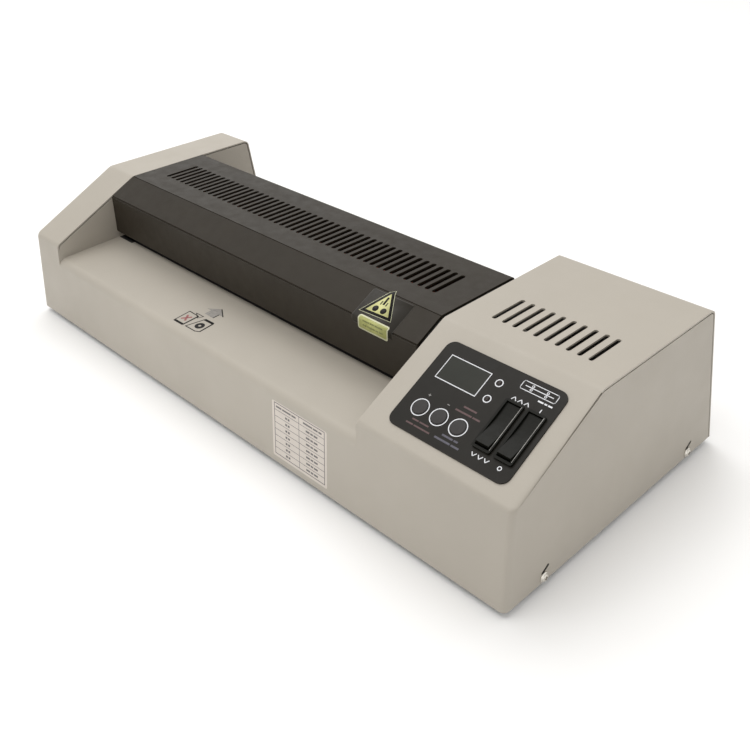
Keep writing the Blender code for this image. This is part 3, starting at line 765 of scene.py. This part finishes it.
def throat_painted_shade():
    """Painted shade: a black strip in the feed slot's throat under the cover's lip, wider at its
    left end.
    """
    floor = face((0, 0, SLOT_FLOOR[1]), (1, 0, 0), (0, 1, 0))
    low, high = across("centre_cover", 0) + THROAT_SHADE_PLAY, across("centre_cover", 1) - THROAT_SHADE_PLAY
    front, rear = THROAT_SHADE
    length, end_front = THROAT_SHADE_END
    strips = {"throat_painted_shade": (low, high, front), "throat_end_painted_shade": (low, low + length, end_front)}
    for name, (x0, x1, y0) in strips.items():
        strip = [(x0, y0), (x1, y0), (x1, rear), (x0, rear)]
        prints(name, [strip], -0.02, 0.06, floor, "rubber", slot="rubber")


def hook_slot(centre, on):
    """The small slanted slot above a case screw, rising towards the rear."""
    length, height, slant = HOOK_SLOT
    rearward = 1 if on is RIGHT_END else -1
    turn = Matrix.Rotation(math.radians(slant) * rearward, 2)
    along, up = HOOK_SLOT_AT
    at = Vector((centre.x + along * rearward, centre.y + up))
    outline = rectangle(0, 0, length, height, height / 2 - 0.01, 4)
    return [tuple(at + turn @ Vector(point)) for point in outline]


def case_screws():
    """Pan heads with crossed recesses over the CAD screws, and a black plug of painted shade
    inside each slot above.
    """
    radius, rise = SCREW_HEAD
    long, short = SCREW_RECESS
    for end, on in (("left", LEFT_END), ("right", RIGHT_END)):
        for place in ("front", "rear"):
            name = f"case_screw_{end}_{place}"
            centre = middle(name, on)
            built = bmesh.new()
            rings = []
            for share, w in ((1.0, 0.02), (1.0, 0.45), (0.86, 0.85), (0.5, rise)):
                ring = circle(centre.x, centre.y, radius * share, SCREW_SIDES)
                rings.append([built.verts.new(on @ Vector((u, v, w))) for u, v in ring])
            built.faces.new(rings[0][::-1])
            built.faces.new(rings[-1])
            for low, high in zip(rings, rings[1:]):
                for k in range(SCREW_SIDES):
                    j = (k + 1) % SCREW_SIDES
                    built.faces.new((low[k], low[j], high[j], high[k]))
            bmesh.ops.recalc_face_normals(built, faces=built.faces)
            head = piece(f"{name}_head", built, "nickel")
            for width, height in ((long, short), (short, long)):
                cut(head, [rectangle(centre.x, centre.y, width, height)], 0.5, 3, on)
            soften(head, SCREW_EDGE)
            # A black plug just inside the slot, painted shade in place of the dark in the slot
            name, slot = f"hook_slot_{end}_{place}", "black_plastic"
            prints(name, [hook_slot(centre, on)], -SHEET, -0.3, on, "black_plastic", slot=slot)


def screw_slots(end, on):
    """Each case screw's hole and the small slot above it."""
    outlines = []
    for place in ("front", "rear"):
        centre = middle(f"case_screw_{end}_{place}", on)
        outlines.append(circle(centre.x, centre.y, SCREW_HOLE_R, 16))
        outlines.append(hook_slot(centre, on))
    return outlines


def cheeks():
    """The tower walls beside the feed table. Their front edges stand against the front sheet."""
    path = inset(bent(TOWER, TOWER_BENDS), SHEET + SEAM)
    against = SHEET + CHEEK_PLAY
    rear_y = path[-1].x - (path[-1].x - path[-2].x) * CHEEK_FOOT_Z / (path[-2].y - path[-1].y)
    bend_z = FRONT_TOP[1] - CHEEK_BEND_DROP
    outline = [(front_y(z) + against, z) for z in (CHEEK_FOOT_Z, bend_z)]
    halfway = BEND_STEPS // 2  # the point in the middle of the front bend
    outline += [tuple(p) for p in path[halfway:-1]] + [(rear_y, CHEEK_FOOT_Z)]
    levels = ("upper", "lower")
    shafts = [f"{pair}_roller_{level}_shaft" for pair in ("hot", "pull") for level in levels]
    rods = [f"tie_rod_{level}" for level in levels]
    holes = [circle(*middle(shaft, SIDE)[:2], SHAFT_HOLE_R) for shaft in shafts]
    holes += [circle(*middle(rod, SIDE)[:2], TIE_ROD_HOLE_R) for rod in rods]
    for side, low in (("left", LEFT_TOWER - SHEET), ("right", RIGHT_TOWER)):
        name = f"{side}_cheek_panel"
        cheek = prints(name, [outline], low, low + SHEET, SIDE, "beige_paint", slot="beige_paint")
        cut(cheek, holes, low - 2, low + 4, SIDE)
        soften(cheek, CHEEK_EDGE)
        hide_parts(f"{side}_cheek")


# ---------------------------------------------------------------- cover


def crease(before, fold, after, width, depth):
    """Three corners of the narrow groove pressed along a fold."""
    before, fold, after = Vector(before), Vector(fold), Vector(after)
    back, on = (before - fold).normalized(), (after - fold).normalized()
    inwards = (back + on).normalized()
    points = (fold + back * width / 2, fold + inwards * depth, fold + on * width / 2)
    return [tuple(point) for point in points]


def cover_shell():
    """The dark hood, with creased folds, a lip over each slot and a row of round-ended vents."""
    front, rear_top = (COVER_FRONT_Y, COVER_LIP_Z), (COVER_REAR_Y, SLOPE_TOP[1])
    corners = [(COVER_FRONT_LIP_Y, COVER_LIP_Z), front]
    corners += crease(front, COVER_FOLD, SLOPE_TOP, *FRONT_CREASE)
    corners += crease(COVER_FOLD, SLOPE_TOP, rear_top, *TOP_CREASE)
    corners += [rear_top, (COVER_REAR_Y, COVER_REAR_LIP[1]), COVER_REAR_LIP]
    path = bent(corners, (LIP_BEND, 0, 0, 0, 0, 0, 0, COVER_REAR_BEND, LIP_BEND))
    low, high = across("centre_cover", 0), across("centre_cover", 1) - COVER_END_GAP
    built = bmesh.new()
    sheet_of(built, [[(x, p.x, p.y) for p in path] for x in (low, high)])
    shell = piece("cover_shell", built, "dark_paint")
    thicken(shell, SHEET)
    # A black sheet of painted shade under the gap at the cover's right end
    cover_end_gap_shade(path[BEND_STEPS + 1 : -1], high)
    xs = vent_middles("centre_cover", COVER_VENTS)
    cut(shell, vents(xs, COVER_VENT_WIDTH), -4, 4, TOP)
    soften(shell, COVER_EDGE)
    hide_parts("centre_cover")


def cover_end_gap_shade(path, cover_end):
    """Painted shade: a black sheet under the cover's right end, which darkens the gap beside the
    tower.
    """
    built = bmesh.new()
    under = inset(path, SHEET + GAP_SHADE_PLAY)
    ends = (cover_end - GAP_SHADE_LAP, cover_end + COVER_END_GAP)
    sheet_of(built, [[(x, p.x, p.y) for p in under] for x in ends])
    thicken(piece("cover_end_gap_shade", built, "black_plastic"), GAP_SHADE_SHEET)


def lay(name, outlines, lift, paint):
    """Thin stickers over the cover's folds, from (x, distance up from the front fold) outlines."""
    low, rear_top = (COVER_FRONT_Y, COVER_LIP_Z + 4), (COVER_REAR_Y, SLOPE_TOP[1])
    steps = 4
    path = inset(bent((low, COVER_FOLD, SLOPE_TOP, rear_top), (1.0, 1.0), steps), -lift)
    lengths = [0.0]
    for a, b in zip(path, path[1:]):
        lengths.append(lengths[-1] + (b - a).length)
    fold = lengths[1 + steps // 2]
    built = bmesh.new()
    for outline in outlines:
        built.faces.new([built.verts.new((x, up + fold, 0)) for x, up in outline])
    for length in lengths[1:-1]:
        parts = built.verts[:] + built.edges[:] + built.faces[:]
        bmesh.ops.bisect_plane(built, geom=parts, plane_co=(0, length, 0), plane_no=(0, 1, 0))
    for vertex in built.verts:
        x, length, _ = vertex.co
        i = max(k for k in range(len(path) - 1) if lengths[k] <= length + 0.0001)
        share = (length - lengths[i]) / (lengths[i + 1] - lengths[i])
        vertex.co = case(x, *path[i].lerp(path[i + 1], share))
    thicken(piece(name, built, paint), STICKER)


def cover_labels():
    """A clear film over the fold, with a triangle of two rollers and a sheet, and a strip."""
    left, right, low, high = CLEAR_FILM
    sides = ((left + right) / 2, (low + high) / 2, right - left, high - low)
    lay("film_edge", [rectangle(*sides, 2.0)], FILM_EDGE_LIFT, "film_edge")
    lay("film", [shrunk(rectangle(*sides), 0.35)], FILM_LIFT, "clear_film")
    x, up, width, height, tilt = TRIANGLE
    turn = Matrix.Rotation(math.radians(tilt), 2)

    def at(dx, dy):
        return Vector((x, up)) + turn @ Vector((dx, dy))

    outer = [tuple(at(*corner)) for corner in ((-width / 2, 0), (width / 2, 0), (0, height))]
    lay("triangle_rim", [outer], RIM_LIFT, "label_rim")
    lay("triangle_border", [shrunk(outer, 0.35)], GROUND_LIFT, "black_ink")
    lay("triangle_field", [shrunk(outer, 2.4)], FIELD_LIFT, "label_yellow")
    mark = [circle(*at(side * 3.4, 5.4), 2.3, 24) for side in (-1, 1)]
    mark.append(bar(at(0, 9.6), at(0, 16.0), 1.6))
    mark += [bar(at(side * 2.2, 9.2), at(side * 2.2, 12.2), 0.9) for side in (-1, 1)]
    lay("triangle_mark", mark, MARK_LIFT, "black_ink")
    left, right, low, high = STRIP_LABEL
    u, v, w, h = (left + right) / 2, (low + high) / 2, right - left, high - low
    lay("strip_rim", [rectangle(u, v, w, h, 1.6, 4)], RIM_LIFT, "label_rim")
    field = rectangle(u, v, w - 2.0, h - 2.0, 0.8, 3)
    lay("strip_field", [field], GROUND_LIFT, "label_green")
    rows = dashes(left + 4.5, right - 4.5, v + 1.6, 1.1, (5, 3, 6))
    rows += dashes(left + 4.5, right - 4.5, v - 1.6, 1.1, (3, 6, 2, 3))
    lay("strip_marks", rows, FIELD_LIFT, "olive_ink")


# ---------------------------------------------------------------- label and pictogram


def front_label():
    """A paper label with a ruled table on the front face, its entries as plain dashes."""
    u0, u1, v0, v1 = FRONT_LABEL
    paper = rectangle((u0 + u1) / 2, (v0 + v1) / 2, u1 - u0, v1 - v0, 1.2, 5)
    prints("front_label", [paper], -0.02, 0.08, FRONT, "label_paper", slot="overlay_film")
    left, right, low, high = u0 + 2.4, u1 - 2.2, v0 + 2.2, v1 - 1.0
    line, head = 0.32, high - 5.0
    step = (head - low) / LABEL_ROWS
    rows = [low + step * k for k in range(LABEL_ROWS + 1)]
    half = (left + right) / 2
    rules = trace([(left, low), (right, low), (right, high), (left, high)], 0.5)
    rules += [bar((left, v), (right, v), line) for v in rows[1:]]
    rules.append(bar((half, low), (half, high), line))
    entries = dashes(left + 1.5, half - 3.0, (head + high) / 2, 1.2, (4, 6, 3))
    entries += dashes(half + 4.0, right - 2.5, (head + high) / 2, 1.2, (6, 3, 2))
    for v in (row + step / 2 for row in rows[:-1]):
        entries += dashes(left + 10.5, left + 14.8, v, 1.5, (2, 2))
        entries += dashes(half + 6.6, half + 17.6, v, 1.3, (3, 2, 3))
    for name, outlines in (("front_label_rules", rules), ("front_label_entries", entries)):
        prints(name, outlines, 0.06, 0.12, FRONT, "label_ink", slot="overlay_film")


def feed_pictogram():
    """Two sheets and an arrow printed on the feed table."""
    x, y = PICTOGRAM
    left = [(x, y), (x + 10.4, y + 0.2), (x + 9.8, y + 14.0), (x - 1.2, y + 14.2)]
    right = [
        (x + 13.6, y + 0.2),
        (x + 24.6, y + 0.4),
        (x + 28.0, y + 2.2),
        (x + 26.8, y + 14.8),
        (x + 17.2, y + 14.4),
    ]
    fold = [(x + 4.9, y + 15.8), (x + 13.0, y + 16.2), (x + 11.3, y + 12.2)]
    lines = trace(left, 0.8) + trace(right, 0.8) + trace(fold, 0.6)
    lines += [bar(left[0], left[1], 2.0), bar(right[3], right[4], 2.2), bar(left[1], left[2], 1.3)]
    lines.append(bar(right[2], right[3], 1.2))
    prints("pictogram_lines", lines, *PRINT, TABLE, "black_ink", slot="beige_paint")
    centre = Vector((x + 4.7, y + 7.2))
    reaches = (Vector((2.5, 3.1)), Vector((-2.5, 3.1)))
    cross = [bar(centre - reach, centre + reach, 1.7) for reach in reaches]
    prints("pictogram_cross", cross, *PRINT, TABLE, "red_print", slot="beige_paint")
    ring = bmesh.new()
    add_ring(ring, (x + 21.4, y + 6.9), (1.1, 3.7), *PRINT, TABLE)
    bmesh.ops.recalc_face_normals(ring, faces=ring.faces)
    piece("pictogram_ring", ring, "black_ink")
    tip, head, wing, neck, tail = 31.2, 6.2, 9.6, 5.0, 19.4
    half = [(neck, tail), (neck, tip - head), (wing, tip - head), (0, tip)]
    shape = [(x + 14.9 + a, y + b) for a, b in half]
    shape += [(x + 14.9 - a, y + b) for a, b in half[-2::-1]]
    prints("pictogram_arrow", [shape], *PRINT, TABLE, "grey_print", slot="beige_paint")
    shade = [bar(shape[2], shape[3], 0.8), bar(shape[0], shape[1], 0.8)]
    prints("pictogram_shade", shade, 0.03, 0.08, TABLE, "black_ink", slot="beige_paint")


# ---------------------------------------------------------------- control panel


def overlay():
    """The black film, cut out for the display, buttons, lamps and switches."""
    outline = rectangle(*plan("control_overlay", SLOPE), OVERLAY_R)
    film = prints("overlay", [outline], 0.02, FILM, SLOPE, "overlay_film", slot="overlay_film")
    window = rectangle(*plan("display_window", SLOPE))
    cut(film, panel_holes()[:-1] + [window], -2, 3, SLOPE)
    soften(film, FILM_EDGE)
    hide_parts("control_overlay")


def overlay_prints():
    """White outlines round the display, buttons and lamps, and plain symbols for the captions."""
    low, high = extent("display_window", SLOPE)
    white = border((low.x - 0.6, low.y - 0.6), (high.x + 0.6, high.y + 0.6), 0.8)
    prints("display_outline", white, *PANEL_PRINT, SLOPE, "white_ink")
    rings = bmesh.new()
    for button in BUTTONS:
        add_ring(rings, middle(button, SLOPE)[:2], BUTTON_RING, *PANEL_PRINT, SLOPE)
    for lamp in LAMPS:
        add_ring(rings, middle(lamp, SLOPE)[:2], LAMP_RING, *PANEL_PRINT, SLOPE)
    bmesh.ops.recalc_face_normals(rings, faces=rings.faces)
    piece("panel_rings", rings, "white_ink")
    up, down, mode = (middle(button, SLOPE) for button in BUTTONS)
    above, mark, line = 9.2, 0.9, 0.45
    signs = []
    for key in (up, down):
        signs.append(bar((key.x - mark, key.y + above), (key.x + mark, key.y + above), line))
    signs.append(bar((up.x, up.y + above - mark), (up.x, up.y + above + mark), line))
    prints("key_signs", signs, *PANEL_PRINT, SLOPE, "grey_ink")
    red = dashes(mode.x - 5.6, mode.x + 3.8, mode.y + 12.6, 1.1, (6,))
    red += dashes(mode.x - 9.0, mode.x + 8.8, mode.y + 9.0, 1.1, (9, 4))
    red += dashes(up.x + 0.6, up.x + 13.1, up.y - 8.0, 1.0, (5, 7))
    red += dashes(up.x - 1.6, up.x + 16.2, up.y - 11.2, 1.0, (4, 9))
    prints("red_captions", red, *PANEL_PRINT, SLOPE, "red_ink")
    blue = dashes(mode.x - 5.5, mode.x + 5.9, mode.y - 7.9, 1.2, (8, 3))
    blue += dashes(mode.x - 8.8, mode.x + 8.9, mode.y - 11.0, 1.2, (10, 5))
    prints("blue_captions", blue, *PANEL_PRINT, SLOPE, "blue_ink")
    switch_symbols()


def chevrons(u, v, way):
    """Three arrowheads in a row, pointing up the slope (way 1) or down it (way -1)."""
    pitch, rise, line = 4.4, 1.2, 0.55
    outlines = []
    for k in (-1, 0, 1):
        tip = Vector((u + pitch * k, v + rise * way))
        for side in (-1, 1):
            outlines.append(bar(tip, tip + Vector((side * 1.6, -2.2 * way)), line))
    return outlines


def switch_symbols():
    """Arrows for the direction switch, on and off marks for the power one, and a device mark."""
    feed, power = (middle(f"{switch}_switch_body", SLOPE) for switch in SWITCHES)
    above, below = feed.y + 18.9, feed.y - 20.6
    marks = chevrons(feed.x + 1.5, above, 1) + chevrons(feed.x + 2.4, below, -1)
    marks.append(bar((power.x + 0.2, above - 1.2), (power.x + 0.2, above + 1.2), 0.6))
    u, v = power.x - 7.6, feed.y + 29.1
    marks += trace(rectangle(u, v, 24.0, 5.6, 1.2, 4), 0.45)
    marks.append(bar((u - 9.6, v), (u + 9.6, v), 0.5))
    marks += dashes(power.x - 5.0, power.x + 4.6, feed.y + 23.8, 1.0, (4, 2, 3))
    prints("panel_symbols", marks, *PANEL_PRINT, SLOPE, "white_ink")
    rings = bmesh.new()
    add_ring(rings, (power.x + 1.0, below), (0.85, 1.4), *PANEL_PRINT, SLOPE, 24)
    for reach in (-5.0, 5.0):
        for lift in (-1.25, 1.25):
            add_ring(rings, (u + reach, v + lift), (0.45, 0.85), *PANEL_PRINT, SLOPE, 24)
    bmesh.ops.recalc_face_normals(rings, faces=rings.faces)
    piece("panel_symbol_rings", rings, "white_ink")


def softened(node, width, paint, body="case"):
    """Replaces a CAD node with a copy whose edges are rounded."""
    built = bmesh.new()
    built.from_mesh(frame["nodes"][node].data)
    bmesh.ops.dissolve_limit(built, angle_limit=0.01, verts=built.verts, edges=built.edges)
    copy = piece(f"{node}_fine", built, paint, body)
    soften(copy, width, 3, 30)
    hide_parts(node)


def bezel_painted_highlights():
    """A painted highlight: a bright grey strip down the right side of each switch's bezel, where
    its moulded edge would catch the light.
    """
    strips = []
    for switch in SWITCHES:
        low, high = extent(f"{switch}_switch_body", SLOPE)
        strips.append(bar((high.x - 1.0, low.y + 2.0), (high.x - 1.0, high.y - 1.5), 0.32))
        top = high.z
    prints("bezel_painted_highlights", strips, top - 0.05, top + 0.05, SLOPE, "painted_highlight_grey", slot="black_plastic")


def controls_and_fittings():
    """The rockers, their bezels, the keys and the mains inlet, with rounded edges."""
    for switch in SWITCHES:
        softened(f"{switch}_rocker", ROCKER_EDGE, "black_plastic", f"{switch}_rocker")
        softened(f"{switch}_switch_body", MOULDED_EDGE, "black_plastic")
    # Painted highlights along the bezels' right edges
    bezel_painted_highlights()
    for button in BUTTONS:
        softened(button, BUTTON_EDGE, "button_film", button)
    softened("mains_inlet", MOULDED_EDGE, "black_plastic")


def build():
    """Every visible piece."""
    repaint()
    case_shell()
    throat_painted_shade()
    case_screws()
    cheeks()
    controls_and_fittings()
    cover_shell()
    cover_labels()
    front_label()
    feed_pictogram()
    overlay()
    overlay_prints()


# ---------------------------------------------------------------- studio


# The camera's place in metres and turn in degrees. The sky runs from dim to bright along its axis
CAMERA_AT = (0.49237, -0.42316, 0.40981)
CAMERA_TURN = (64.924, 1.052, 44.716)
CAMERA_LENS = 47.543
CAMERA_SHIFT = (-0.0267, -0.18)
SKY_COLOUR = (1.0, 0.985, 0.96, 1)
SKY_LOW = 0.36
SKY_HIGH = 1.22
SKY_AXIS = (-0.35, 0.15, 0.92)
FLOOR_SIZE = 8000
FLOOR_CORNER_R = 60
FLOOR_THICKNESS = 20


def camera():
    """The camera, above and to the right of the front."""
    data = bpy.data.cameras.new("camera")
    data.lens = CAMERA_LENS
    data.shift_x, data.shift_y = CAMERA_SHIFT
    data.clip_start, data.clip_end = 0.01, 50
    made = bpy.data.objects.new("camera", data)
    made.location = CAMERA_AT
    made.rotation_euler = [math.radians(a) for a in CAMERA_TURN]
    bpy.context.scene.collection.objects.link(made)
    bpy.context.scene.camera = made


def area_light(name, at, target, size, power):
    """A rectangular lamp in metres and watts, turned to its target."""
    data = bpy.data.lights.new(name, "AREA")
    data.shape = "RECTANGLE"
    data.size, data.size_y = size
    data.energy = power
    made = bpy.data.objects.new(name, data)
    made.location = at
    made.rotation_euler = (Vector(target) - Vector(at)).to_track_quat("-Z", "Y").to_euler()
    bpy.context.scene.collection.objects.link(made)


def pale_floor():
    """The floor under the machine."""
    built = bmesh.new()
    outline = rectangle(0, 0, FLOOR_SIZE, FLOOR_SIZE, FLOOR_CORNER_R, 4)
    add_prism(built, outline, -FLOOR_THICKNESS, 0, Matrix.Scale(MM, 4))
    mesh = bpy.data.meshes.new("floor")
    built.to_mesh(mesh)
    built.free()
    floor = bpy.data.objects.new("floor", mesh)
    bpy.context.scene.collection.objects.link(floor)
    floor_paint = finish("floor_paint", (0.93, 0.93, 0.93), 0.8, mottle=(300, 0.01), grain=())
    mesh.materials.append(floor_paint)


def sky():
    """A warm white sky, brighter overhead than near the ground."""
    world = bpy.data.worlds.new("studio")
    world.use_nodes = True
    tree = world.node_tree
    background = tree.nodes["Background"]
    background.inputs["Color"].default_value = SKY_COLOUR
    coords = node_at(tree, "ShaderNodeTexCoord", -800, 0)
    tilt = node_at(tree, "ShaderNodeVectorMath", -600, 0, operation="DOT_PRODUCT")
    tilt.inputs[1].default_value = SKY_AXIS
    rise = node_at(tree, "ShaderNodeMapRange", -400, 0)
    rise.inputs["To Min"].default_value = SKY_LOW
    rise.inputs["To Max"].default_value = SKY_HIGH
    tree.links.new(coords.outputs["Generated"], tilt.inputs[0])
    tree.links.new(tilt.outputs["Value"], rise.inputs["Value"])
    tree.links.new(rise.outputs["Result"], background.inputs["Strength"])
    bpy.context.scene.world = world


def studio():
    """A pale floor and soft light from above and the front."""
    pale_floor()
    sky()
    area_light("key", (-0.7, 0.5, 1.8), (0, 0, 0), (1.4, 1.2), 9)
    area_light("front", (-0.2, -1.0, 2.0), (0, 0, 0.05), (1.3, 0.8), 8)
    area_light("rim", (-1.5, 0.95, 0.8), (-0.1, 0, 0.1), (0.9, 0.6), 1)
    area_light("side", (1.2, -0.9, 1.0), (0.15, 0, 0.05), (0.9, 0.9), 1.7)
    area_light("right_strip", (0.42, 0.0, 0.03), (0.25, 0.0, 0.03), (0.3, 0.05), 0.04)
    area_light("front_strip", (-0.05, -0.38, 0.05), (-0.05, -0.1, 0.04), (0.3, 0.05), 0.1)
    bpy.context.scene.view_settings.view_transform = "Standard"


camera()
studio()
build()
